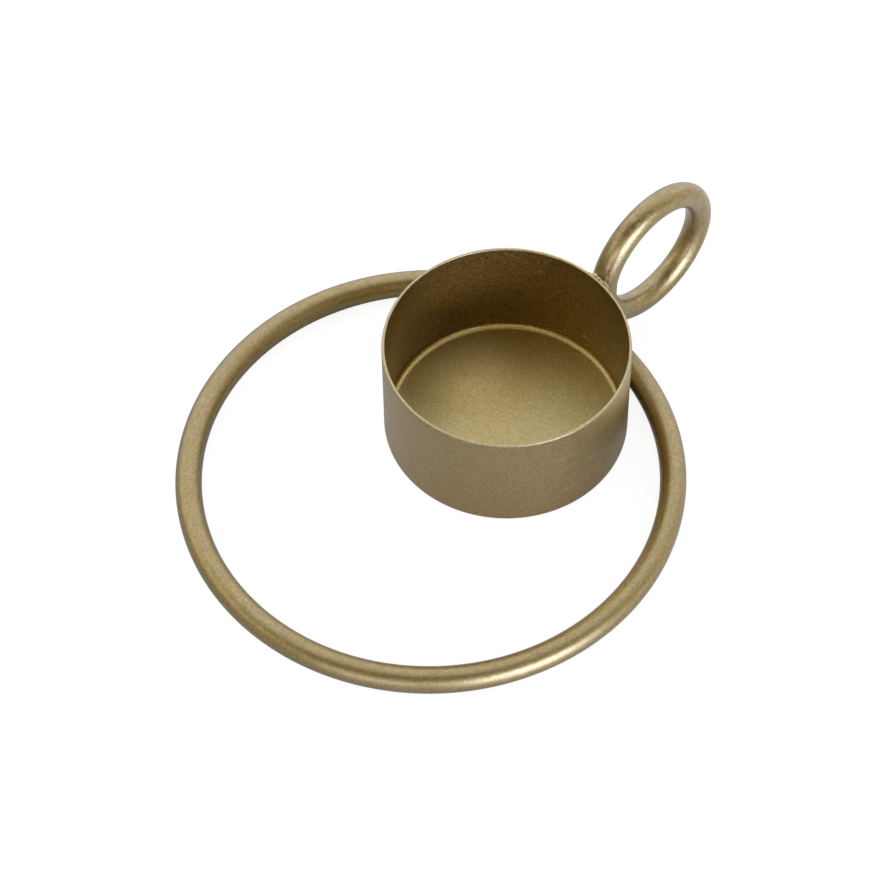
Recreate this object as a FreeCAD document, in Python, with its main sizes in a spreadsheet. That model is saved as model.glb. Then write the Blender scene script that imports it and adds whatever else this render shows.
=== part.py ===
import FreeCAD, Part
import os
import Sketcher

# Candle ring, a hand-held holder for a tealight, in millimetres.
# A drawn cup stands on the table inside a flat ring of round rod and is welded to it.
# A finger ring of the same rod stands on edge against the far side of the cup.
# The origin is on the cup's axis at table level, +Z is up, and +X runs from the cup
# to the finger ring. The object is the same on both sides of the XZ plane.

SIZES = [
    ("rod_diameter", 5.0, "round rod that both rings are bent from"),
    ("base_ring_diameter", 96.0, "outside of the ring that lies on the table"),
    ("cup_diameter", 46.5, "outside of the cup"),
    ("cup_height", 24.0, "table to rim"),
    ("cup_wall", 0.6, "sheet that the cup is drawn from"),
    ("cup_corner", 0.8, "inside radius between the cup's floor and wall"),
    ("rim_round", 0.15, "radius of the two edges of the trimmed rim"),
    ("finger_hole", 21.0, "inside of the finger ring"),
    ("finger_ring_lift", 2.5, "space between the table and the finger ring"),
    ("seam_width", 1.2, "space between the ends of a ring's rod, filled by its butt weld"),
    ("weld_root", 0.55, "radius of a ball that rests in the groove where a bead is laid"),
    ("weld_radius", 1.25, "half the width of a bead"),
    ("base_weld_length", 10.0, "bead between base ring and cup"),
    ("finger_weld_length", 9.0, "each bead between finger ring and cup"),
]

# Radii and places that follow from the sizes.
ROD_RADIUS = "(Sizes.rod_diameter / 2)"
CUP_RADIUS = "(Sizes.cup_diameter / 2)"
CUP_BORE_RADIUS = f"({CUP_RADIUS} - Sizes.cup_wall)"
BASE_RING_RADIUS = "((Sizes.base_ring_diameter - Sizes.rod_diameter) / 2)"
BASE_RING_X = f"({CUP_RADIUS} + {ROD_RADIUS} - {BASE_RING_RADIUS})"
FINGER_RING_RADIUS = "((Sizes.finger_hole + Sizes.rod_diameter) / 2)"
FINGER_RING_X = f"({CUP_RADIUS} + {ROD_RADIUS} + {FINGER_RING_RADIUS})"
FINGER_RING_Z = f"(Sizes.finger_ring_lift + {FINGER_RING_RADIUS} + {ROD_RADIUS})"

# A ball in the groove between cup and rod touches both, which places a bead's centre.
BASE_WELD_X = f"({CUP_RADIUS} + Sizes.weld_root)"
BASE_WELD_Z = f"({ROD_RADIUS} + 2 * sqrt({ROD_RADIUS} * Sizes.weld_root))"
FINGER_WELD_X = (
    f"({CUP_RADIUS} + Sizes.weld_root * ({CUP_RADIUS} - {ROD_RADIUS}) / ({CUP_RADIUS} + {ROD_RADIUS}))"
)
FINGER_WELD_Y = f"sqrt(({CUP_RADIUS} + Sizes.weld_root) ^ 2 - {FINGER_WELD_X} ^ 2)"

FULL_TURN = 360
SIDEWAYS = FreeCAD.Rotation(FreeCAD.Vector(1, 0, 0), 90)
SAME_PLACE = 1e-4


def write_sizes(doc):
    """Put the driving sizes in the sheet, one row each: alias, value and meaning."""
    sheet = doc.addObject("Spreadsheet::Sheet", "Sizes")
    for row, (alias, value, meaning) in enumerate(SIZES, start=1):
        sheet.set(f"A{row}", alias)
        sheet.set(f"B{row}", str(value))
        sheet.set(f"C{row}", meaning)
        sheet.setAlias(f"B{row}", alias)
    doc.recompute()
    return sheet


def bind(feature, **expressions):
    """Tie properties of a feature to expressions on the sizes."""
    for name, expression in expressions.items():
        feature.setExpression(name, expression)


def place(part, x="0", y="0", z="0"):
    part.setExpression("Placement.Base.x", x)
    part.setExpression("Placement.Base.y", y)
    part.setExpression("Placement.Base.z", z)


def add_sketch(body, role, name):
    """A sketch on the origin plane of its own body that has this role."""
    planes = [feature for feature in body.Origin.OriginFeatures if feature.Role == role]
    sketch = body.newObject("Sketcher::SketchObject", name)
    sketch.AttachmentSupport = (planes[0], [""])
    sketch.MapMode = "FlatFace"
    return sketch


def add_circle(sketch, radius, shift="0"):
    """A circle on the sketch's horizontal axis, shifted along it from the origin."""
    circle = sketch.addGeometry(Part.Circle())
    sketch.addConstraint(Sketcher.Constraint("PointOnObject", circle, 3, -1))
    across = sketch.addConstraint(Sketcher.Constraint("DistanceX", -1, 1, circle, 3, 0))
    size = sketch.addConstraint(Sketcher.Constraint("Radius", circle, 1))
    sketch.setExpression(f"Constraints[{across}]", shift)
    sketch.setExpression(f"Constraints[{size}]", radius)


def bend_rod(doc, label, plane, centre_shift, turn):
    """Round rod bent about the plane's vertical axis, half the turn each side of the plane."""
    body = doc.addObject("PartDesign::Body", label)
    section = add_sketch(body, plane, f"{label}_section")
    add_circle(section, ROD_RADIUS, centre_shift)
    bend = body.newObject("PartDesign::Revolution", f"{label}_bend")
    bend.Profile = section
    bend.ReferenceAxis = (section, ["V_Axis"])
    bend.Midplane = True
    bind(bend, Angle=turn)
    return body


def make_ring(doc, label, plane, ring_radius, cup_side):
    """A rod bent until its ends nearly meet where it touches the cup, and the weld between them."""
    seam_turn = f"(Sizes.seam_width / {ring_radius} * 180 / pi)"
    rod_shift = f"{-cup_side} * {ring_radius}"
    seam_shift = f"{cup_side} * {ring_radius}"
    rod = bend_rod(doc, label, plane, rod_shift, f"{FULL_TURN} - {seam_turn}")
    seam = bend_rod(doc, f"{label}_seam", plane, seam_shift, seam_turn)
    return [rod, seam]


def make_base_ring(doc):
    """Lies flat on the table, bent about Z. The cup is at its +X side, inside."""
    parts = make_ring(doc, "base_ring", "XZ_Plane", BASE_RING_RADIUS, 1)
    for part in parts:
        place(part, x=BASE_RING_X, z=ROD_RADIUS)
    return parts


def make_finger_ring(doc):
    """Stands on edge, bent about Y. The cup is at its -X side, outside."""
    parts = make_ring(doc, "finger_ring", "XY_Plane", FINGER_RING_RADIUS, -1)
    for part in parts:
        place(part, x=FINGER_RING_X, z=FINGER_RING_Z)
    return parts


def level_edges(feature, level):
    """The names of the feature's full circles at one height."""
    names = []
    for number, edge in enumerate(feature.Shape.Edges, start=1):
        if not isinstance(edge.Curve, Part.Circle) or not edge.isClosed():
            continue
        if abs(edge.Curve.Center.z - level) < SAME_PLACE:
            names.append(f"Edge{number}")
    return names


def round_off(body, base, name, level, radius):
    """Fillet every circular edge of the base feature at one height."""
    fillet = body.newObject("PartDesign::Fillet", name)
    fillet.Base = (base, level_edges(base, level))
    bind(fillet, Radius=radius)
    body.Document.recompute()
    return fillet


def make_cup(doc, sheet):
    """Drawn from sheet: a flat floor, an upright wall, and one thickness round the corner."""
    body = doc.addObject("PartDesign::Body", "candle_cup")
    outline = add_sketch(body, "XY_Plane", "cup_outline")
    add_circle(outline, CUP_RADIUS)
    blank = body.newObject("PartDesign::Pad", "cup_blank")
    blank.Profile = outline
    bind(blank, Length="Sizes.cup_height")
    doc.recompute()
    pressed = round_off(body, blank, "outer_corner", 0, "Sizes.cup_corner + Sizes.cup_wall")

    mouth = add_sketch(body, "XY_Plane", "cup_mouth")
    mouth.setExpression("AttachmentOffset.Base.z", "Sizes.cup_height")
    add_circle(mouth, CUP_BORE_RADIUS)
    hollow = body.newObject("PartDesign::Pocket", "cup_hollow")
    hollow.Profile = mouth
    bind(hollow, Length="Sizes.cup_height - Sizes.cup_wall")
    doc.recompute()
    if hollow.Shape.Volume >= pressed.Shape.Volume:
        raise ValueError("the hollow doesn't cut the cup")
    drawn = round_off(body, hollow, "inner_corner", sheet.cup_wall, "Sizes.cup_corner")
    round_off(body, drawn, "rim_edges", sheet.cup_height, "Sizes.rim_round")
    return body


def make_cup_space(doc):
    """The room that the closed outside of the cup takes up, and some above its rim."""
    space = doc.addObject("Part::Cylinder", "cup_space")
    bind(space, Radius=CUP_RADIUS, Height="Sizes.cup_height + Sizes.finger_weld_length")
    return space


def make_rod_space(doc, name, ring_radius, x, z, turned=False):
    """The room that a whole ring of rod takes up, flat or turned on edge."""
    space = doc.addObject("Part::Torus", name)
    if turned:
        space.Placement.Rotation = SIDEWAYS
    bind(space, Radius1=ring_radius, Radius2=ROD_RADIUS)
    place(space, x=x, z=z)
    return space


def lay_bead(doc, label, along, x, y, z, spaces):
    """A bead that fills the groove between cup and rod: an egg, cut back by both."""
    bead = doc.addObject("Part::Ellipsoid", f"{label}_bead")
    bind(bead, Radius1="Sizes.weld_radius", Radius2="Sizes.weld_radius", Radius3="Sizes.weld_radius")
    bind(bead, **along)
    place(bead, x=x, y=y, z=z)
    for number, space in enumerate(spaces, start=1):
        cut = doc.addObject("Part::Cut", f"{label}_cut_{number}")
        cut.Base = bead
        cut.Tool = space
        bead = cut
    bead.Label = label
    return bead


def make_welds(doc):
    """One bead on top of the base ring, and one on each side of the finger ring."""
    cup = make_cup_space(doc)
    base_rod = make_rod_space(doc, "base_rod_space", BASE_RING_RADIUS, BASE_RING_X, ROD_RADIUS)
    finger_rod = make_rod_space(
        doc, "finger_rod_space", FINGER_RING_RADIUS, FINGER_RING_X, FINGER_RING_Z, turned=True
    )
    level = {"Radius3": "Sizes.base_weld_length / 2"}
    upright = {"Radius1": "Sizes.finger_weld_length / 2"}
    welds = [
        lay_bead(doc, "base_ring_weld", level, BASE_WELD_X, "0", BASE_WELD_Z, [cup, base_rod])
    ]
    for side, sign in (("left", 1), ("right", -1)):
        label = f"finger_ring_weld_{side}"
        across = f"{sign} * {FINGER_WELD_Y}"
        spaces = [cup, finger_rod]
        welds.append(lay_bead(doc, label, upright, FINGER_WELD_X, across, FINGER_RING_Z, spaces))
    return welds


def check(doc, parts):
    for feature in doc.Objects:
        if "Invalid" in feature.State or "Error" in feature.State:
            raise ValueError(f"{feature.Label} failed to recompute")
    for part in parts:
        shape = part.Shape
        if shape.isNull() or not shape.isValid() or len(shape.Solids) != 1:
            raise ValueError(f"{part.Label} isn't one sound solid")


def save(parts):
    os.makedirs("parts", exist_ok=True)
    for part in parts:
        part.Shape.exportStep(f"parts/{part.Label}.step")
        print(f"{part.Label}: {part.Shape.Volume:.2f} mm3")


def main():
    doc = FreeCAD.newDocument("candle_ring")
    sheet = write_sizes(doc)
    parts = make_base_ring(doc) + [make_cup(doc, sheet)] + make_finger_ring(doc) + make_welds(doc)
    doc.recompute()
    check(doc, parts)
    save(parts)


main()
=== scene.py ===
import math

import bmesh
import bpy
import numpy as np
from mathutils import Matrix, Vector


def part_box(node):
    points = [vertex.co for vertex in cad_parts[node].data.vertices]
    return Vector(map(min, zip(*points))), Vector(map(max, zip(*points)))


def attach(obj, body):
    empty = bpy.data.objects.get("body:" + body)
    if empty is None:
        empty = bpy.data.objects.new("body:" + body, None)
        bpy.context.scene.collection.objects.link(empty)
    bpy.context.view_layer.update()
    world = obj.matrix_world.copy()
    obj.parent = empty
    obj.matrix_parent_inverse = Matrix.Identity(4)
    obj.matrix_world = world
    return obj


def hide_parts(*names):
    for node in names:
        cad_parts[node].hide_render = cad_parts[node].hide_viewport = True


# Candle ring: a steel cup for a tealight, a flat base ring and an upright finger ring of
# round rod, welded together and painted satin champagne gold.
# Metres, +Z up, origin on the cup's axis at table level, +X towards the finger ring.

MM = 0.001
UP = Vector((0, 0, 1))
BODY = "root"

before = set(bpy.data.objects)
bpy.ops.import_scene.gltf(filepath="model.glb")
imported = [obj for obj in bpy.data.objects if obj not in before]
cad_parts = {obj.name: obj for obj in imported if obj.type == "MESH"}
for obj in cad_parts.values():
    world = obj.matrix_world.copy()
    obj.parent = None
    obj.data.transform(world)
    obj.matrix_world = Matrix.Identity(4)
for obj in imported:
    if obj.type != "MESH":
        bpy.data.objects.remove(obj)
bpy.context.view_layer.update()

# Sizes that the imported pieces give.
_, CUP_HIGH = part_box("candle_cup")
CUP_RADIUS = CUP_HIGH.y
CUP_HEIGHT = CUP_HIGH.z
BASE_LOW, BASE_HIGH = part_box("base_ring")
ROD_RADIUS = (BASE_HIGH.z - BASE_LOW.z) / 2
BASE_RADIUS = (BASE_HIGH.y - BASE_LOW.y) / 2 - ROD_RADIUS
BASE_CENTRE = Vector((BASE_LOW.x + ROD_RADIUS + BASE_RADIUS, 0, ROD_RADIUS))
FINGER_LOW, FINGER_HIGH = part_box("finger_ring")
FINGER_RADIUS = (FINGER_HIGH.z - FINGER_LOW.z) / 2 - ROD_RADIUS
FINGER_X = FINGER_HIGH.x - ROD_RADIUS - FINGER_RADIUS
FINGER_CENTRE = Vector((FINGER_X, 0, (FINGER_LOW.z + FINGER_HIGH.z) / 2))

# The cup's sheet: its thickness, the corner inside, the foot outside and the rim's two edges.
CUP_WALL = 0.6 * MM
CUP_CORNER = 1.1 * MM
CUP_FOOT = 1.5 * MM
RIM_ROUND = 0.2 * MM
BORE_RADIUS = CUP_RADIUS - CUP_WALL
WALL_MIDDLE = CUP_RADIUS - CUP_WALL / 2

# The innermost points of the cup's floor and underside, which a fan of triangles joins.
HUB_RADIUS = 0.4 * MM

# Unevenness that bending, drawing and trimming leave. The rim is thinner than the sheet by a
# share that sways round the cup.
ROD_SWELL = 0.012 * MM
CUP_SWELL = 0.03 * MM
RIM_DIP = 0.1 * MM
RIM_DEPTH = 2.5 * MM
RIM_THINNING = 0.1
RIM_SWAY = 0.12
RIM_THINNEST = 0.3
FLOOR_DISH = 0.1 * MM
DISH_RADIUS = CUP_RADIUS - 3 * MM

# Butt welds that close the rings, ground to a low lumpy hump that sinks into the rod at its ends.
SEAM_LENGTH = 1.2 * MM
SEAM_PROUD = 0.1 * MM
SEAM_SPREAD = 2.4 * MM
SEAM_FLATNESS = 0.7
SEAM_LUMPS = 0.3
SEAM_SINK = 0.35

# Beads in the grooves beside the rods, laid in drops.
BEAD_RADIUS = 1.22 * MM
BEAD_ROOT = 0.55 * MM
BASE_BEAD_LENGTH = 10 * MM
FINGER_BEAD_LENGTH = 9 * MM
BEAD_PITCH = 0.6 * MM
BEAD_TAPER = 0.5
DROP_SHIFT = 0.03 * MM
DROP_SIZES = (0.96, 1.04)
BEAD_VOXEL = 0.1 * MM
BEAD_EASE = 0.6
BEAD_EASE_ROUNDS = 14

# Drops that fill the gap under the rim: how far across towards each bead they lie, as shares,
# how high above the finger ring's middle, lower near the beads, and how far they reach into
# rod and cup.
LEFT_FILL = (0.3, 0.1)
RIGHT_FILL = (1.0, 0.75, 0.5, 0.25)
FILL_RISE = 5 * MM
FILL_FALL = 0.5 * MM
FILL_DEPTH = 0.5 * MM

# Facets: enough that no straight edge shows at a rod's or a rim's outline.
ROD_SIDES = 56
BASE_STEPS = 900
FINGER_STEPS = 360
SEAM_STEPS = 40
CUP_STEPS = 640
UNDERSIDE_STEPS = 26
WALL_STEPS = 44
CORNER_STEPS = 12
RIM_STEPS = 6
FLOOR_STEPS = 40

# The colour that the paint mirrors with on each kind of surface: copies of one gold, lighter on the cup's
# floor as painted light and darker on its inner wall as painted shade.
GOLD = (0.36, 0.268, 0.106)
CUP_GOLD = (0.4, 0.283, 0.107)
INNER_SHADED_GOLD = (0.315, 0.235, 0.09)
FLOOR_LIT_GOLD = (0.56, 0.44, 0.188)
WELD_GOLD = (0.43, 0.335, 0.155)

# What the paint changes to where it is rubbed, scratched or streaked deeper, and the colours of painted
# highlights, reflections and shade.
# Painted highlight on the rim, high on the cup's inner wall and towards the rim outside; also the rubbed
# and wiped streaks on rods and cup.
RUBBED_AND_HIGHLIGHT_GOLD = (0.48, 0.385, 0.2)
# Painted highlight in the corner between the cup's floor and wall.
CORNER_HIGHLIGHT_GOLD = (0.82, 0.64, 0.28)
# Painted shade on the front of the cup's floor.
FRONT_SHADE_GOLD = (0.48, 0.395, 0.18)
# Painted warm reflection on the back of the cup's floor and high on its outside.
BACK_REFLECTION_GOLD = (0.62, 0.435, 0.12)
# Painted shade low on the cup's inner wall.
WALL_SHADE_GOLD = (0.115, 0.088, 0.052)
# Painted shade low on the cup's outside at the right front.
OUTSIDE_SHADE_GOLD = (0.28, 0.175, 0.03)
DEEP_GOLD = (0.25, 0.175, 0.055)
SCRATCH_GOLD = (0.95, 0.8, 0.5)

# The tints between which every paint is mottled.
WARMER = (1.015, 1.0, 0.98)
COOLER = (0.985, 1.0, 1.02)

# Each paint's roughness, contrast of its flakes, orange peel, and clear coat.
ROD_FINISH = (0.41, 0.19, 0.3, 0.9)
FINGER_FINISH = (0.38, 0.2, 0.9, 0.9)
CUP_FINISH = (0.4, 0.18, 0.2, 0.6)
WALL_FINISH = (0.34, 0.42, 0.15, 0.15)
FLOOR_FINISH = (0.45, 0.16, 0.08, 0.15)
WELD_FINISH = (0.2, 0.08, 0.12, 1.0)
COAT_ROUGHNESS = 0.3
COAT_IOR = 1.45

# Patterns in the paint: waves to the metre, detail, roughness, and the two greys between which
# the pattern rises from nothing to its full share.
MOTTLE = (90, 2, 0.5, 0.3, 0.7)
DUST = (1700, 1, 0.5, 0.76, 0.84)
GLOSS_PATCHES = (900, 2, 0.5, 0.25, 0.75)
NIBS = (1500, 1, 0.5, 0.75, 0.82)
DEEP_STREAKS = (1200, 3, 0.6, 0.45, 0.65)
RUBBED_STREAKS = (1400, 2, 0.6, 0.5, 0.68)
GROUND_PATCHES = (900, 3, 0.65, 0.44, 0.56)

# Bumps and flakes in the paint: waves to the metre, detail and roughness, or cells to the metre.
ORANGE_PEEL = (1100, 2, 0.5)
GRIT = (2600, 2, 0.6)
BUMP_DEPTH = 0.02 * MM
COARSE_FLAKES = 3000
FINE_FLAKES = 5000

# Heights and distances on the cup at which one paint goes over to the next, and over which painted
# highlights, reflection and shade fade in.
FLOOR_EDGE = CUP_WALL + 0.35 * MM
RIM_EDGE = CUP_HEIGHT - 0.3 * MM
RIM_HIGHLIGHT_HEIGHTS = (CUP_HEIGHT - 0.45 * MM, CUP_HEIGHT - 0.15 * MM)
OUTSIDE_LIGHT_HEIGHTS = (4 * MM, CUP_HEIGHT)
CORNER_HEIGHTS = (FLOOR_EDGE, FLOOR_EDGE + 0.6 * MM)
CORNER_REACH = (BORE_RADIUS - CUP_CORNER, BORE_RADIUS - CUP_CORNER * 0.55)
FLOOR_BACK = (0, 20 * MM)
FLOOR_FRONT = (-13 * MM, 0)

# Spots of painted highlight, reflection and shade on the cup: azimuth from the camera, distance from
# the cup's axis, height, the spot's radius, its share, and the colour that it changes to.
# The floor: painted shade on the left, painted highlights at the back left and back right.
FLOOR_LIGHT_AND_SHADE_SPOTS = [
    (-98, 19 * MM, 0, 12 * MM, 0.3, GOLD),
    (-152, 15 * MM, 0, 12 * MM, 0.65, CORNER_HIGHLIGHT_GOLD),
    (132, 18 * MM, 0, 11 * MM, 0.15, CORNER_HIGHLIGHT_GOLD),
]
# The inner wall: painted shade low at the back and right, a painted highlight high at the back.
WALL_LIGHT_AND_SHADE_SPOTS = [
    (-138, BORE_RADIUS, 4 * MM, 18 * MM, 0.82, WALL_SHADE_GOLD),
    (-172, BORE_RADIUS, 4 * MM, 18 * MM, 0.48, WALL_SHADE_GOLD),
    (112, BORE_RADIUS, 4 * MM, 18 * MM, 0.22, WALL_SHADE_GOLD),
    (-162, BORE_RADIUS, 25 * MM, 19 * MM, 0.9, RUBBED_AND_HIGHLIGHT_GOLD),
]
# The outside: a painted warm reflection high at the right, painted shade low at the right.
OUTER_LIGHT_AND_SHADE_SPOTS = [
    (68, CUP_RADIUS, 23 * MM, 13 * MM, 0.7, BACK_REFLECTION_GOLD),
    (62, CUP_RADIUS, 6 * MM, 20 * MM, 0.9, OUTSIDE_SHADE_GOLD),
]

# Hairline scratches high on the cup's inner wall: to the right of the middle, height, length
# in millimetres, and lean in degrees.
SCRATCHES = [
    (2.3, 21.8, 6.4, -30),
    (1.2, 22.5, 2.6, -14),
    (4.8, 18.9, 1.2, -45),
    (7.0, 18.6, 1.6, -24),
    (8.2, 21.8, 1.3, 80),
    (-4.5, 20.2, 2.2, 38),
    (-9.5, 17.0, 1.5, -60),
]
SCRATCH_CORE = 0.03 * MM
SCRATCH_EDGE = 0.12 * MM

# Wiped streaks on the right front of the cup: where they are, which way they run and lean in
# degrees, how many steps a metre has across and along them, and their pattern in those steps.
STREAK_AZIMUTH = 40
STREAK_HEIGHT = 13 * MM
STREAK_RADIUS = 17 * MM
STREAK_HEADING = 128
STREAK_LEAN = 4
STREAK_ACROSS = 2200.0
STREAK_ALONG = 110.0
STREAK_PATTERN = (1.4, 3, 0.6, 0.48, 0.68)

# How much longer than wide the streaks along a rod are, and how strong on each ring: the deeper
# ones and the rubbed ones.
ROD_STRETCH = 4
BASE_STREAKS = (0.15, 0.2)
FINGER_STREAKS = (0.25, 0.5)

# The ground place on the finger ring: beside the cup, a little above the ring's middle.
GROUND_PLACE = (CUP_RADIUS, 0, FINGER_CENTRE.z + 2 * MM)
GROUND_RADIUS = 12 * MM

# The photograph's camera, in degrees, metres and, for its lens and sensor, millimetres.
CAMERA_AZIMUTH = -43.073
CAMERA_ELEVATION = 54.452
CAMERA_ROLL = -0.785
CAMERA_DISTANCE = 0.57606
CAMERA_TARGET = Vector((-0.01708, -0.00064, 0.010))
CAMERA_LENS = 125.664
SENSOR_WIDTH = 36

# The studio that the metal mirrors. Its azimuths are counted from the camera, to its right. A
# range is of the cosine of the angle to the backdrop's middle, to straight up or to the light.
WHITE = (1, 1, 1)
BACKDROP = (1.2, 1.24, 1.38)
BACK_AZIMUTH = 175
BACK_ELEVATION = 30
BACK_RANGE = (0.15, 0.82)
HORIZON = (0.51, 0.44, 0.26)
CEILING = (0.15, 0.115, 0.05)
CEILING_RANGE = (0.6, 0.96)

# Soft boxes: azimuth, elevation, distance, width, height, radiance and colour.
LAMPS = {
    "key": (33, 14, 0.8, 0.54, 0.46, 5.8, (0.86, 1.0, 1.55)),
    "fill": (-23, 17, 0.9, 0.45, 0.45, 1.6, (0.93, 1.0, 1.55)),
    "left": (-89, 30, 1.2, 1.3, 0.5, 0.68, WHITE),
    "right": (82, 4, 1.0, 0.8, 0.5, 0.45, WHITE),
}

# What lights the table and whatever else is matt, brighter from the left.
TABLE_LIGHT = (1.13, 1.12, 1.09)
TABLE_SHADE = (0.32, 0.32, 0.3)
TABLE_LIGHT_AZIMUTH = -115
TABLE_LIGHT_ELEVATION = 15
TABLE_LIGHT_RANGE = (-0.7, 0.9)

# The table as the metal mirrors it, which darkens to the left over a range in metres as a painted
# shade, and as the camera sees it, white but for a shadow.
TABLE_PALE = (0.87, 0.86, 0.83)
TABLE_DARK = (0.34, 0.34, 0.33)
TABLE_DARK_AZIMUTH = -98
TABLE_DARK_RANGE = (-0.09, 0.1)
TABLE_ROUGHNESS = 0.3
SHADOW_GREY = (0.2, 0.2, 0.2)
TABLE_GLOW = 0.88
FLOOR_SIZE = 6
FLOOR_DROP = 0.01 * MM


def away(azimuth, elevation):
    """The direction from the object at an azimuth counted from -Y towards +X, as the camera's is."""
    turn = math.radians(azimuth)
    tilt = math.radians(elevation)
    return Vector((math.sin(turn) * math.cos(tilt), -math.cos(turn) * math.cos(tilt), math.sin(tilt)))


def wave_field(seed, along, around, height, waves_along, waves_around):
    """A smooth random height for each pair of turns, which joins up after a full turn."""
    random = np.random.default_rng(seed)
    field = np.zeros(np.broadcast(along, around).shape)
    weight = 0
    for wave in range(1, waves_along + 1):
        across = random.integers(0, waves_around + 1)
        phases = random.uniform(0, math.tau, 2)
        share = random.normal() / math.sqrt(wave)
        field = field + share * np.cos(wave * along + phases[0]) * np.cos(across * around + phases[1])
        weight += share * share
    return height * field / math.sqrt(weight)


def full_turn(steps):
    """Angles evenly round a circle, in one row."""
    return np.linspace(0, math.tau, steps, endpoint=False)[None, :]


def add_object(name, data):
    added = bpy.data.objects.new(name, data)
    bpy.context.scene.collection.objects.link(added)
    return added


def mesh_object(name, vertices, faces):
    """A smooth closed mesh whose faces all look outward."""
    mesh = bpy.data.meshes.new(name)
    mesh.from_pydata([tuple(vertex) for vertex in vertices], [], faces)
    work = bmesh.new()
    work.from_mesh(mesh)
    bmesh.ops.recalc_face_normals(work, faces=work.faces)
    work.to_mesh(mesh)
    work.free()
    mesh.shade_smooth()
    return add_object(name, mesh)


def grid_faces(rows, columns):
    """Quads between rows of points, each row a closed loop."""
    faces = []
    for row in range(rows - 1):
        below = row * columns
        above = below + columns
        for column in range(columns):
            beside = (column + 1) % columns
            faces.append((below + column, below + beside, above + beside, above + column))
    return faces


def swept_object(name, grid):
    """A closed tube through rows of points, all on or above the table, with a fan over each end."""
    rows, columns, _ = grid.shape
    faces = grid_faces(rows, columns)
    grid[..., 2] = np.maximum(grid[..., 2], 0)
    vertices = list(grid.reshape(-1, 3))
    for row in (0, rows - 1):
        hub = len(vertices)
        vertices.append(grid[row].mean(axis=0))
        for column in range(columns):
            faces.append((row * columns + column, row * columns + (column + 1) % columns, hub))
    return mesh_object(name, vertices, faces)


class Ring:
    """A rod bent to a ring: its places and its unevenness, shared by rod and seam."""

    def __init__(self, centre, radius, outward, sideways, seed):
        self.centre = np.array(centre)
        self.radius = radius
        self.outward = np.array(outward, float)
        self.sideways = np.array(sideways, float)
        self.axis = np.cross(self.outward, self.sideways)
        self.seed = seed

    def surface(self, turns, proud=0):
        """Points round the rod at turns round the ring, which start at the seam."""
        along = turns[:, None]
        around = full_turn(ROD_SIDES)
        long_waves = wave_field(self.seed, along, around, ROD_SWELL, 9, 1)
        short_waves = wave_field(self.seed + 1, along, around, ROD_SWELL / 12, 60, 4)
        swell = np.clip(long_waves + short_waves, -ROD_SWELL, ROD_SWELL)
        rod = ROD_RADIUS - ROD_SWELL + swell + proud
        reach = self.radius + rod * np.cos(around)
        lift = rod * np.sin(around)
        way = np.cos(along)[..., None] * self.outward + np.sin(along)[..., None] * self.sideways
        return self.centre + reach[..., None] * way + lift[..., None] * self.axis


def make_rod(name, ring, steps):
    """A ring's rod, from one side of its seam round to the other."""
    half_seam = SEAM_LENGTH / ring.radius / 2
    turns = np.linspace(half_seam, math.tau - half_seam, steps)
    return swept_object(name, ring.surface(turns))


def make_seam(name, ring, seed):
    """A butt weld, ground nearly flush: it stands a little proud and runs out onto the rod."""
    share = np.linspace(-1, 1, SEAM_STEPS)
    hump = np.cos(share * math.pi / 2)[:, None] ** SEAM_FLATNESS
    lumps = wave_field(seed, (share * math.pi)[:, None], full_turn(ROD_SIDES), 1, 6, 7)
    proud = SEAM_PROUD * (hump * (1 + SEAM_LUMPS * lumps) - SEAM_SINK)
    return swept_object(name, ring.surface(share * SEAM_SPREAD / ring.radius, proud))


def arc(centre_radius, centre_height, radius, start, end, steps):
    """Radii and heights round part of a circle, whose ends are given in degrees."""
    angles = np.radians(np.linspace(start, end, steps))
    return np.stack([centre_radius + radius * np.cos(angles), centre_height + radius * np.sin(angles)], 1)


def line(start, end, steps):
    """Radii and heights between two points, without the points themselves."""
    return np.linspace(start, end, steps + 2)[1:-1]


def cup_profile():
    """Radius and height of the cup's section, from under its middle round to its floor's middle."""
    rim = CUP_HEIGHT - RIM_ROUND
    foot = CUP_RADIUS - CUP_FOOT
    corner = BORE_RADIUS - CUP_CORNER
    corner_top = CUP_WALL + CUP_CORNER
    parts = [
        line((HUB_RADIUS, 0), (foot, 0), UNDERSIDE_STEPS),
        arc(foot, CUP_FOOT, CUP_FOOT, -90, 0, CORNER_STEPS),
        line((CUP_RADIUS, CUP_FOOT), (CUP_RADIUS, rim), WALL_STEPS),
        arc(CUP_RADIUS - RIM_ROUND, rim, RIM_ROUND, 0, 90, RIM_STEPS),
        arc(BORE_RADIUS + RIM_ROUND, rim, RIM_ROUND, 90, 180, RIM_STEPS),
        line((BORE_RADIUS, rim), (BORE_RADIUS, corner_top), WALL_STEPS),
        arc(corner, corner_top, CUP_CORNER, 0, -90, CORNER_STEPS),
        line((corner, CUP_WALL), (HUB_RADIUS, CUP_WALL), FLOOR_STEPS),
    ]
    return np.concatenate(parts)


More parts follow.
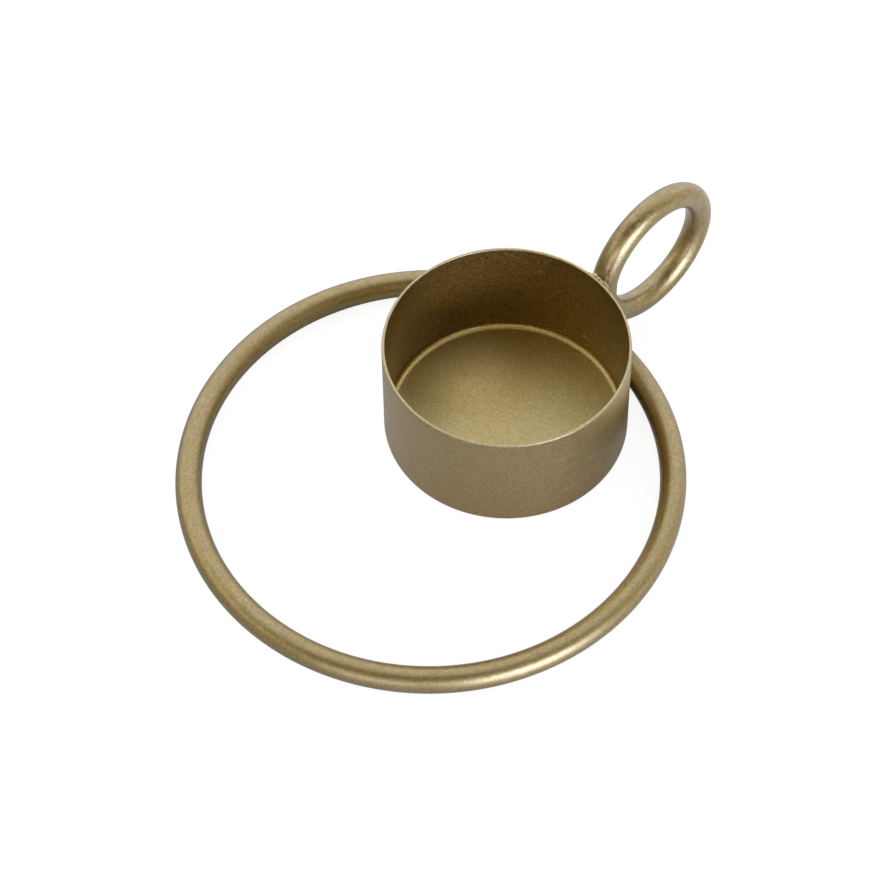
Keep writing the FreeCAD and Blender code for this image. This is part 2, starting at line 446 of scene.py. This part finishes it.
def make_cup():
    """The drawn cup, with a wall and rim a little uneven and a floor just dished."""
    profile = cup_profile()
    radius = profile[:, 0][:, None]
    height = profile[:, 1][:, None]
    turns = full_turn(CUP_STEPS)

    up_wall = np.clip(height / CUP_HEIGHT, 0, 1)
    swell = wave_field(31, turns, up_wall * math.pi, CUP_SWELL, 7, 1)
    ripple = wave_field(32, turns, up_wall * math.pi, CUP_SWELL / 8, 40, 6)
    reach = radius + (swell + ripple - 2 * CUP_SWELL) * up_wall ** 0.5 * (radius > CUP_RADIUS / 2)

    near_rim = np.clip(1 - (CUP_HEIGHT - height) / RIM_DEPTH, 0, 1) ** 2
    thin = wave_field(33, turns, 0 * radius, RIM_SWAY, 23, 0)
    thinning = np.clip(thin + RIM_THINNING, 0, RIM_THINNEST)
    reach = reach + near_rim * (WALL_MIDDLE - radius) * thinning
    dip = np.abs(wave_field(34, turns, 0 * radius, RIM_DIP / 2, 17, 0))

    on_floor = (height > CUP_WALL / 2) & (height < 2 * CUP_WALL)
    dish = FLOOR_DISH * np.clip(1 - (radius / DISH_RADIUS) ** 2, 0, 1) * on_floor
    level = height - near_rim * np.clip(dip, 0, RIM_DIP) - dish
    grid = np.stack([reach * np.cos(turns), reach * np.sin(turns), level + 0 * turns], -1)
    return swept_object("cup_shell", grid)


def make_bead(name, drops, seed):
    """A weld bead: overlapping drops of metal, given by place and radius, melted together."""
    random = np.random.default_rng(seed)
    work = bmesh.new()
    for place, radius in drops:
        centre = Vector(place) + Vector(random.normal(0, DROP_SHIFT, 3))
        size = radius * random.uniform(*DROP_SIZES)
        bmesh.ops.create_icosphere(work, subdivisions=3, radius=size, matrix=Matrix.Translation(centre))
    mesh = bpy.data.meshes.new(name)
    work.to_mesh(mesh)
    work.free()
    bead = add_object(name, mesh)
    melt = bead.modifiers.new("melt", "REMESH")
    melt.mode = "VOXEL"
    melt.voxel_size = BEAD_VOXEL
    melt.use_smooth_shade = True
    ease = bead.modifiers.new("ease", "SMOOTH")
    ease.factor = BEAD_EASE
    ease.iterations = BEAD_EASE_ROUNDS
    return bead


def row_of_drops(path, length):
    """Drops along a path from end to end, smaller towards its ends."""
    drops = []
    count = round(length / BEAD_PITCH)
    for number in range(count):
        share = -1 + 2 * number / (count - 1)
        place = path(share * (length / 2 - BEAD_ROOT))
        drops.append((place, BEAD_RADIUS * (1 - BEAD_TAPER * abs(share) ** 3)))
    return drops


def base_bead_path(along):
    """In the groove on top of the base ring's rod, beside the cup."""
    reach = CUP_RADIUS + BEAD_ROOT
    turn = along / reach
    height = ROD_RADIUS + 2 * math.sqrt(ROD_RADIUS * BEAD_ROOT)
    return (reach * math.cos(turn), reach * math.sin(turn), height)


def finger_bead_drops(side, fill):
    """Up the groove beside the finger ring's rod, and into the gap between rod and rim."""
    reach = CUP_RADIUS + BEAD_ROOT
    x = CUP_RADIUS + BEAD_ROOT * (CUP_RADIUS - ROD_RADIUS) / (CUP_RADIUS + ROD_RADIUS)
    y = side * math.sqrt(reach ** 2 - x ** 2)
    drops = row_of_drops(lambda along: (x, y, FINGER_CENTRE.z + along), FINGER_BEAD_LENGTH)
    outer = FINGER_RADIUS + ROD_RADIUS
    for share in fill:
        rise = FILL_RISE - FILL_FALL * share
        gap = FINGER_CENTRE.x - math.sqrt(outer ** 2 - rise ** 2) - CUP_RADIUS
        place = (CUP_RADIUS + gap / 2, share * y, FINGER_CENTRE.z + rise)
        drops.append((place, gap / 2 + FILL_DEPTH))
    return drops


class Nodes:
    """Short calls for building the node tree of a material or of the world."""

    def __init__(self, tree):
        tree.nodes.clear()
        self.tree = tree

    def add(self, kind, **settings):
        node = self.tree.nodes.new(kind)
        for name, value in settings.items():
            setattr(node, name, value)
        return node

    def set(self, socket, value):
        """Link the socket to another one, or give it a number, vector or colour."""
        if isinstance(value, bpy.types.NodeSocket):
            self.tree.links.new(value, socket)
        elif isinstance(value, tuple) and socket.type == "RGBA":
            socket.default_value = (*value, 1)
        else:
            socket.default_value = value

    def place(self):
        """The place on the object, which is the place in the scene, since no piece is moved."""
        return self.add("ShaderNodeTexCoord").outputs["Object"]

    def maths(self, operation, first, second=0.0):
        node = self.add("ShaderNodeMath", operation=operation)
        self.set(node.inputs[0], first)
        self.set(node.inputs[1], second)
        return node.outputs[0]

    def plus(self, first, second):
        return self.maths("ADD", first, second)

    def times(self, *values):
        product = values[0]
        for value in values[1:]:
            product = self.maths("MULTIPLY", product, value)
        return product

    def size(self, value):
        return self.maths("ABSOLUTE", value)

    def vector(self, operation, first, second=(0, 0, 0), result="Vector"):
        node = self.add("ShaderNodeVectorMath", operation=operation)
        self.set(node.inputs[0], first)
        self.set(node.inputs[1], second)
        return node.outputs[result]

    def along(self, vector, direction):
        """How far the vector reaches in a direction."""
        return self.vector("DOT_PRODUCT", vector, direction, "Value")

    def scaled(self, colour, factor):
        node = self.add("ShaderNodeVectorMath", operation="SCALE")
        self.set(node.inputs[0], colour)
        self.set(node.inputs["Scale"], factor)
        return node.outputs[0]

    def part(self, vector, axis):
        node = self.add("ShaderNodeSeparateXYZ")
        self.set(node.inputs[0], vector)
        return node.outputs[axis]

    def joined(self, *parts):
        """A vector made of its parts."""
        node = self.add("ShaderNodeCombineXYZ")
        for socket, value in zip(node.inputs, parts):
            self.set(socket, value)
        return node.outputs[0]

    def noise(self, vector, scale, detail, roughness):
        node = self.add("ShaderNodeTexNoise")
        self.set(node.inputs["Vector"], vector)
        self.set(node.inputs["Scale"], scale)
        self.set(node.inputs["Detail"], detail)
        self.set(node.inputs["Roughness"], roughness)
        return node.outputs["Fac"]

    def cells(self, vector, scale):
        """A random grey for each little cell, as for paint flakes."""
        node = self.add("ShaderNodeTexVoronoi")
        self.set(node.inputs["Vector"], vector)
        self.set(node.inputs["Scale"], scale)
        return self.part(node.outputs["Color"], "X")

    def spread(self, value, low, high, to_low=0.0, to_high=1.0):
        """The value's range from low to high, stretched smoothly to a new range."""
        node = self.add("ShaderNodeMapRange", interpolation_type="SMOOTHSTEP")
        limits = ("From Min", low), ("From Max", high), ("To Min", to_low), ("To Max", to_high)
        self.set(node.inputs["Value"], value)
        for name, limit in limits:
            self.set(node.inputs[name], limit)
        return node.outputs["Result"]

    def pattern(self, vector, settings, to_low=0.0, to_high=1.0):
        """A share, or another range, where noise of these settings rises between its two greys."""
        scale, detail, roughness, low, high = settings
        return self.spread(self.noise(vector, scale, detail, roughness), low, high, to_low, to_high)

    def near(self, vector, point, radius):
        """1 at the point, falling smoothly to 0 at the radius."""
        distance = self.vector("DISTANCE", vector, point, "Value")
        return self.spread(distance, radius * 0.25, radius, 1, 0)

    def blend(self, share, first, second):
        """One colour into the other by a share."""
        node = self.add("ShaderNodeMix", data_type="RGBA")
        self.set(node.inputs[0], share)
        self.set(node.inputs[6], first)
        self.set(node.inputs[7], second)
        return node.outputs[2]

    def blend_shaders(self, share, first, second):
        node = self.add("ShaderNodeMixShader")
        self.set(node.inputs[0], share)
        self.set(node.inputs[1], first)
        self.set(node.inputs[2], second)
        return node.outputs[0]

    def bump(self, height, strength, normal=None):
        node = self.add("ShaderNodeBump")
        self.set(node.inputs["Strength"], strength)
        self.set(node.inputs["Distance"], BUMP_DEPTH)
        self.set(node.inputs["Height"], height)
        if normal is not None:
            self.set(node.inputs["Normal"], normal)
        return node.outputs["Normal"]


def new_material(name):
    material = bpy.data.materials.new(name)
    material.use_nodes = True
    return material, Nodes(material.node_tree)


def tinted(colour, tint):
    return tuple(part * change for part, change in zip(colour, tint))


def paint(name, gold, finish, marks):
    """Satin metallic paint: fine flakes under a thin clear coat, mottled and orange-peeled."""
    roughness, grain, peel, coat = finish
    material, nodes = new_material(name)
    output = nodes.add("ShaderNodeOutputMaterial")
    shader = nodes.add("ShaderNodeBsdfPrincipled")
    nodes.set(output.inputs["Surface"], shader.outputs["BSDF"])
    place = nodes.place()

    mottle = nodes.pattern(place, MOTTLE)
    # The marks may paint light and shade into the tone, as well as streaks, scratches and wear.
    tone = marks(nodes, place, nodes.blend(mottle, tinted(gold, WARMER), tinted(gold, COOLER)))
    fine = nodes.times(nodes.cells(place, FINE_FLAKES), 2 * grain)
    coarse = nodes.times(nodes.cells(place, COARSE_FLAKES), grain)
    sparkle = nodes.plus(nodes.plus(fine, coarse), 1 - 1.5 * grain)
    dust = nodes.pattern(place, DUST, 1, 0.8)
    nodes.set(shader.inputs["Base Color"], nodes.scaled(tone, nodes.times(sparkle, dust)))

    change = 0.1 * peel
    patches = nodes.pattern(place, GLOSS_PATCHES, roughness - change, roughness + change)
    nodes.set(shader.inputs["Roughness"], patches)
    orange_peel = nodes.bump(nodes.noise(place, *ORANGE_PEEL), peel)
    grit = nodes.bump(nodes.noise(place, *GRIT), peel, orange_peel)
    nodes.set(shader.inputs["Normal"], grit)

    nodes.set(shader.inputs["Metallic"], 1.0)
    nodes.set(shader.inputs["Coat Weight"], coat)
    nodes.set(shader.inputs["Coat Roughness"], COAT_ROUGHNESS)
    nodes.set(shader.inputs["Coat IOR"], COAT_IOR)
    return material


def rim_highlight(nodes, place, tone):
    """A painted highlight at the height of the cup's trimmed edge, where the paint is also thinner."""
    rim = nodes.spread(nodes.part(place, "Z"), *RIM_HIGHLIGHT_HEIGHTS)
    return nodes.blend(rim, tone, RUBBED_AND_HIGHLIGHT_GOLD)


def corner_highlight(nodes, place, tone):
    """A painted highlight in the rounded corner between the cup's floor and its wall."""
    reach = nodes.vector("LENGTH", nodes.vector("MULTIPLY", place, (1, 1, 0)), result="Value")
    low = nodes.spread(nodes.part(place, "Z"), *CORNER_HEIGHTS, 1, 0)
    far_out = nodes.spread(reach, *CORNER_REACH)
    return nodes.blend(nodes.times(low, far_out), tone, CORNER_HIGHLIGHT_GOLD)


def cup_point(azimuth, reach, height):
    """A place on the cup, at an azimuth from the camera and a distance from the cup's axis."""
    return away(CAMERA_AZIMUTH + azimuth, 0) * reach + UP * height


def spotted(nodes, place, tone, spots):
    """The tone, changed at each of the spots."""
    for azimuth, reach, height, radius, share, gold in spots:
        spot = nodes.near(place, cup_point(azimuth, reach, height), radius)
        tone = nodes.blend(nodes.times(spot, share), tone, gold)
    return tone


def floor_light_and_shade(nodes, place, tone):
    """The cup's floor: painted warm reflection towards the back, cooler painted shade at the front,
    painted spots of light and shade, and a painted highlight at its edge.
    """
    depth = nodes.along(place, away(CAMERA_AZIMUTH + 180, 0))
    tone = nodes.blend(nodes.spread(depth, *FLOOR_BACK, 0, 0.85), tone, BACK_REFLECTION_GOLD)
    tone = nodes.blend(nodes.spread(depth, *FLOOR_FRONT, 0.9, 0), tone, FRONT_SHADE_GOLD)
    tone = spotted(nodes, place, tone, FLOOR_LIGHT_AND_SHADE_SPOTS)
    return corner_highlight(nodes, place, tone)


def scratch(nodes, place, middle, length, lean):
    """A share of up to 1 along a hairline on the cup's wall, which leans by some degrees."""
    outward = Vector((middle.x, middle.y, 0)).normalized()
    level = outward.cross(UP)
    angle = math.radians(lean)
    heading = level * math.cos(angle) + UP * math.sin(angle)
    offset = nodes.vector("SUBTRACT", place, middle)
    run = nodes.size(nodes.along(offset, heading))
    distance = nodes.size(nodes.along(offset, outward.cross(heading)))
    hairline = nodes.spread(distance, SCRATCH_CORE, SCRATCH_EDGE, 1, 0)
    ends = nodes.spread(run, length * 0.3, length * 0.5, 0.8, 0)
    return nodes.times(hairline, ends, nodes.near(place, middle, length))


def wall_light_shade_and_scratches(nodes, place, tone):
    """The cup's inner wall: painted shade above the floor, painted highlights in its corner, high at the
    back and under the rim, scratched, with pale nibs.
    """
    tone = spotted(nodes, place, tone, WALL_LIGHT_AND_SHADE_SPOTS)
    tone = corner_highlight(nodes, place, tone)
    for across, height, length, lean in SCRATCHES:
        turn = 180 - math.degrees(across * MM / BORE_RADIUS)
        middle = cup_point(turn, BORE_RADIUS, height * MM)
        tone = nodes.blend(scratch(nodes, place, middle, length * MM, lean), tone, SCRATCH_GOLD)
    nibs = nodes.pattern(nodes.vector("ADD", place, (0.2, 0, 0)), NIBS)
    tone = nodes.blend(nodes.times(nibs, 0.3), tone, SCRATCH_GOLD)
    return rim_highlight(nodes, place, tone)


def wiped_streaks(nodes, place):
    """A share of up to 1 along fine streaks that run nearly level."""
    heading = away(CAMERA_AZIMUTH + STREAK_HEADING, 0)
    lean = math.radians(STREAK_LEAN)
    across = nodes.along(place, UP * math.cos(lean) - heading * math.sin(lean))
    run = nodes.along(place, heading * math.cos(lean) + UP * math.sin(lean))
    drawn = nodes.joined(nodes.times(across, STREAK_ACROSS), nodes.times(run, STREAK_ALONG))
    return nodes.pattern(drawn, STREAK_PATTERN)


def outer_light_and_streaks(nodes, place, tone):
    """The cup's outside: painted light towards the rim, a painted warm reflection high and painted shade
    low at the right front, wiped in streaks there, and a painted highlight at the rim.
    """
    higher = nodes.spread(nodes.part(place, "Z"), *OUTSIDE_LIGHT_HEIGHTS, 0, 0.4)
    tone = nodes.blend(higher, tone, RUBBED_AND_HIGHLIGHT_GOLD)
    tone = spotted(nodes, place, tone, OUTER_LIGHT_AND_SHADE_SPOTS)
    wiped = nodes.near(place, cup_point(STREAK_AZIMUTH, CUP_RADIUS, STREAK_HEIGHT), STREAK_RADIUS)
    tone = nodes.blend(nodes.times(wiped_streaks(nodes, place), wiped, 0.8), tone, RUBBED_AND_HIGHLIGHT_GOLD)
    return rim_highlight(nodes, place, tone)


def along_rod(nodes, place, ring):
    """A place in which noise is drawn out along a ring's rod. Its ends meet at the ring's seam."""
    offset = nodes.vector("SUBTRACT", place, tuple(ring.centre))
    out = nodes.along(offset, tuple(-ring.outward))
    side = nodes.along(offset, tuple(-ring.sideways))
    lift = nodes.along(offset, tuple(ring.axis))
    turn = nodes.maths("ARCTAN2", side, out)
    reach = nodes.maths("SQRT", nodes.plus(nodes.times(out, out), nodes.times(side, side)))
    return nodes.joined(nodes.times(turn, ring.radius / ROD_STRETCH), reach, lift)


def rod_marks(ring, deep, rubbed):
    """Streaks of deeper and of rubbed paint along a ring's rod, each with its share."""
    def mark(nodes, place, tone):
        drawn = along_rod(nodes, place, ring)
        deeper = nodes.pattern(drawn, DEEP_STREAKS)
        tone = nodes.blend(nodes.times(deeper, deep), tone, DEEP_GOLD)
        paler = nodes.pattern(nodes.vector("ADD", drawn, (0.1, 0, 0)), RUBBED_STREAKS)
        return nodes.blend(nodes.times(paler, rubbed), tone, RUBBED_AND_HIGHLIGHT_GOLD)
    return mark


def finger_marks(ring):
    """A rod's streaks, and deeper mottled paint beside the cup, where the weld has been ground."""
    streaks = rod_marks(ring, *FINGER_STREAKS)

    def mark(nodes, place, tone):
        tone = streaks(nodes, place, tone)
        ground = nodes.near(place, GROUND_PLACE, GROUND_RADIUS)
        patchy = nodes.pattern(place, GROUND_PATCHES)
        return nodes.blend(nodes.times(ground, patchy, 0.2), tone, DEEP_GOLD)
    return mark


def finish_piece(piece, material, node):
    piece.data.materials.append(material)
    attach(piece, BODY)
    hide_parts(node)


def line_cup(cup, wall_paint, floor_paint):
    """Give the cup's inner wall and its floor paints of their own."""
    cup.data.materials.append(wall_paint)
    cup.data.materials.append(floor_paint)
    for face in cup.data.polygons:
        reach = math.hypot(face.center.x, face.center.y)
        inside = reach < WALL_MIDDLE and CUP_WALL / 2 < face.center.z < RIM_EDGE
        on_floor = inside and face.center.z < FLOOR_EDGE
        face.material_index = inside + on_floor


def make_object():
    base = Ring(BASE_CENTRE, BASE_RADIUS, (1, 0, 0), (0, 1, 0), seed=11)
    finger = Ring(FINGER_CENTRE, FINGER_RADIUS, (-1, 0, 0), (0, 0, 1), seed=21)
    rod_paint = paint("rod_paint", GOLD, ROD_FINISH, rod_marks(base, *BASE_STREAKS))
    finger_paint = paint("finger_paint", GOLD, FINGER_FINISH, finger_marks(finger))
    cup_paint = paint("cup_paint", CUP_GOLD, CUP_FINISH, outer_light_and_streaks)
    wall_paint = paint("wall_paint", INNER_SHADED_GOLD, WALL_FINISH, wall_light_shade_and_scratches)
    floor_paint = paint("floor_paint", FLOOR_LIT_GOLD, FLOOR_FINISH, floor_light_and_shade)
    # The welds get the painted highlight near the rim too.
    weld_paint = paint("weld_paint", WELD_GOLD, WELD_FINISH, rim_highlight)

    rod = make_rod("base_ring_rod", base, BASE_STEPS)
    finish_piece(rod, rod_paint, "base_ring")
    seam = make_seam("base_ring_joint", base, seed=12)
    finish_piece(seam, rod_paint, "base_ring_seam")
    rod = make_rod("finger_ring_rod", finger, FINGER_STEPS)
    finish_piece(rod, finger_paint, "finger_ring")
    seam = make_seam("finger_ring_joint", finger, seed=22)
    finish_piece(seam, finger_paint, "finger_ring_seam")

    cup = make_cup()
    finish_piece(cup, cup_paint, "candle_cup")
    line_cup(cup, wall_paint, floor_paint)

    bead = make_bead("base_ring_bead", row_of_drops(base_bead_path, BASE_BEAD_LENGTH), seed=41)
    finish_piece(bead, weld_paint, "base_ring_weld")
    bead = make_bead("finger_ring_bead_left", finger_bead_drops(1, LEFT_FILL), seed=43)
    finish_piece(bead, weld_paint, "finger_ring_weld_left")
    bead = make_bead("finger_ring_bead_right", finger_bead_drops(-1, RIGHT_FILL), seed=41)
    finish_piece(bead, weld_paint, "finger_ring_weld_right")


def make_camera():
    back = away(CAMERA_AZIMUTH, CAMERA_ELEVATION)
    level_right = UP.cross(back).normalized()
    level_up = back.cross(level_right)
    roll = math.radians(CAMERA_ROLL)
    right = math.cos(roll) * level_right + math.sin(roll) * level_up
    data = bpy.data.cameras.new("camera")
    data.sensor_width = SENSOR_WIDTH
    data.lens = CAMERA_LENS
    data.clip_start = 10 * MM
    camera = add_object("camera", data)
    camera.matrix_world = Matrix((right, back.cross(right), back)).transposed().to_4x4()
    camera.location = CAMERA_TARGET + back * CAMERA_DISTANCE
    bpy.context.scene.camera = camera


def make_lamp(name, azimuth, elevation, distance, width, height, radiance, colour):
    """A soft box that faces the object. Its radiance is what a mirror there would show."""
    data = bpy.data.lights.new(name, "AREA")
    data.shape = "RECTANGLE"
    data.size = width
    data.size_y = height
    data.energy = radiance * math.pi * width * height
    data.color = colour
    direction = away(CAMERA_AZIMUTH + azimuth, elevation)
    lamp = add_object(name, data)
    lamp.location = direction * distance
    lamp.rotation_mode = "QUATERNION"
    lamp.rotation_quaternion = (-direction).to_track_quat("-Z", "Y")
    lamp.visible_camera = False


def make_lights():
    for name, settings in LAMPS.items():
        make_lamp(name, *settings)


def ray_shares(nodes):
    """1 for rays that show a background, straight or in metal or glass, and 1 for straight rays."""
    path = nodes.add("ShaderNodeLightPath")
    straight = path.outputs["Is Camera Ray"]
    mirrored = nodes.plus(path.outputs["Is Glossy Ray"], path.outputs["Is Transmission Ray"])
    return nodes.plus(straight, mirrored), straight


def make_world():
    """A studio: a pale backdrop behind the object, dimmer in front, dark overhead.

    The table is lit softly from the left, so that the cup shades its own right side of it.
    """
    world = bpy.data.worlds.new("studio")
    world.use_nodes = True
    nodes = Nodes(world.node_tree)
    output = nodes.add("ShaderNodeOutputWorld")
    background = nodes.add("ShaderNodeBackground")
    nodes.set(output.inputs["Surface"], background.outputs["Background"])
    direction = nodes.add("ShaderNodeTexCoord").outputs["Generated"]
    upward = nodes.spread(nodes.part(direction, "Z"), *CEILING_RANGE)
    front = nodes.blend(upward, HORIZON, CEILING)
    backward = nodes.along(direction, away(CAMERA_AZIMUTH + BACK_AZIMUTH, BACK_ELEVATION))
    studio = nodes.blend(nodes.spread(backward, *BACK_RANGE), front, BACKDROP)
    towards_light = away(CAMERA_AZIMUTH + TABLE_LIGHT_AZIMUTH, TABLE_LIGHT_ELEVATION)
    lit = nodes.spread(nodes.along(direction, towards_light), *TABLE_LIGHT_RANGE)
    on_table = nodes.blend(lit, TABLE_SHADE, TABLE_LIGHT)
    shown, straight = ray_shares(nodes)
    shown_colour = nodes.blend(straight, studio, WHITE)
    nodes.set(background.inputs["Color"], nodes.blend(shown, on_table, shown_colour))
    bpy.context.scene.world = world


def table_material():
    """White to the camera but for a faint shadow, and two greys to the metal and to the light."""
    material, nodes = new_material("table")
    output = nodes.add("ShaderNodeOutputMaterial")
    leftward = nodes.along(nodes.place(), away(CAMERA_AZIMUTH + TABLE_DARK_AZIMUTH, 0))
    tone = nodes.blend(nodes.spread(leftward, *TABLE_DARK_RANGE), TABLE_PALE, TABLE_DARK)
    mirrored = nodes.add("ShaderNodeBsdfPrincipled")
    nodes.set(mirrored.inputs["Base Color"], tone)
    nodes.set(mirrored.inputs["Roughness"], TABLE_ROUGHNESS)
    shadowed = nodes.add("ShaderNodeBsdfDiffuse")
    nodes.set(shadowed.inputs["Color"], SHADOW_GREY)
    glow = nodes.add("ShaderNodeEmission")
    nodes.set(glow.inputs["Strength"], TABLE_GLOW)
    seen = nodes.add("ShaderNodeAddShader")
    nodes.set(seen.inputs[0], shadowed.outputs[0])
    nodes.set(seen.inputs[1], glow.outputs[0])
    plain = nodes.add("ShaderNodeBsdfDiffuse")
    nodes.set(plain.inputs["Color"], tone)
    shown, straight = ray_shares(nodes)
    shown_table = nodes.blend_shaders(straight, mirrored.outputs[0], seen.outputs[0])
    nodes.set(output.inputs["Surface"], nodes.blend_shaders(shown, plain.outputs[0], shown_table))
    return material


def make_floor():
    """The table, just under the object so that the two don't lie in one plane."""
    half = FLOOR_SIZE / 2
    outline = ((-half, -half), (half, -half), (half, half), (-half, half))
    mesh = bpy.data.meshes.new("floor")
    mesh.from_pydata([(x, y, -FLOOR_DROP) for x, y in outline], [], [(0, 1, 2, 3)])
    floor = add_object("floor", mesh)
    floor.data.materials.append(table_material())


make_object()
make_camera()
make_lights()
make_world()
make_floor()
bpy.context.scene.view_settings.view_transform = "Standard"
